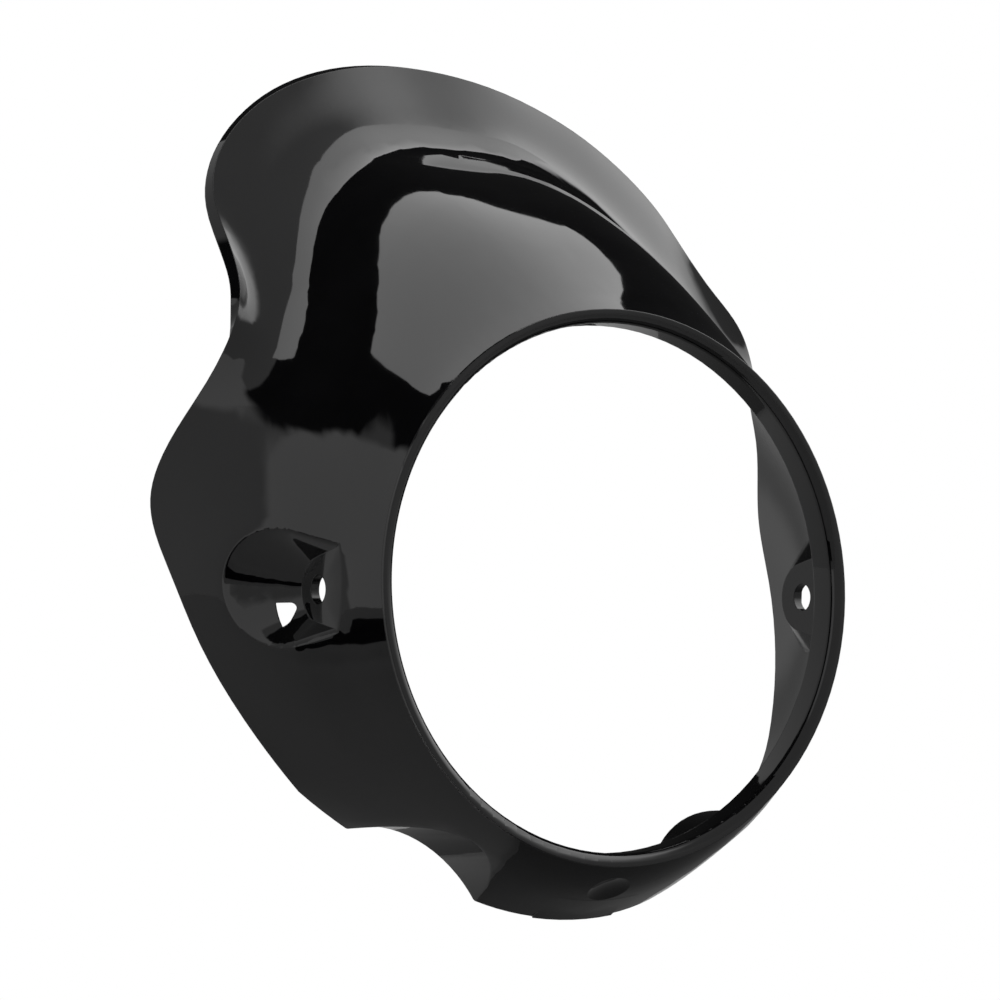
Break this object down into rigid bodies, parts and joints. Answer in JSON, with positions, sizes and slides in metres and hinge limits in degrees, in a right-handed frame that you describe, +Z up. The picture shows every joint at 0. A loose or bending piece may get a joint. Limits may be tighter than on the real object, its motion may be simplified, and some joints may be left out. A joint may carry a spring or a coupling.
{
  "type": "motorbike headlight cowl",
  "caption": "Moulded gloss black cowl that rings a round motorbike headlight, with a swept-back visor above, pointed side ears, recessed screw pockets and arches under the sides.",
  "frame": {"origin": "on the axis of the round lamp opening, where its bore begins behind the rounded front lip", "axes": "+X to the viewer's right of the front, -Y out of the front through the lamp opening, +Z up towards the visor"},
  "size_m": [0.2412, 0.1331, 0.2884],
  "materials": {
    "gloss_black": "high-gloss black, smooth moulded"
  },
  "bodies": {
    "root": {"headlight_cowl": "gloss_black"}
  },
  "joints": []
}
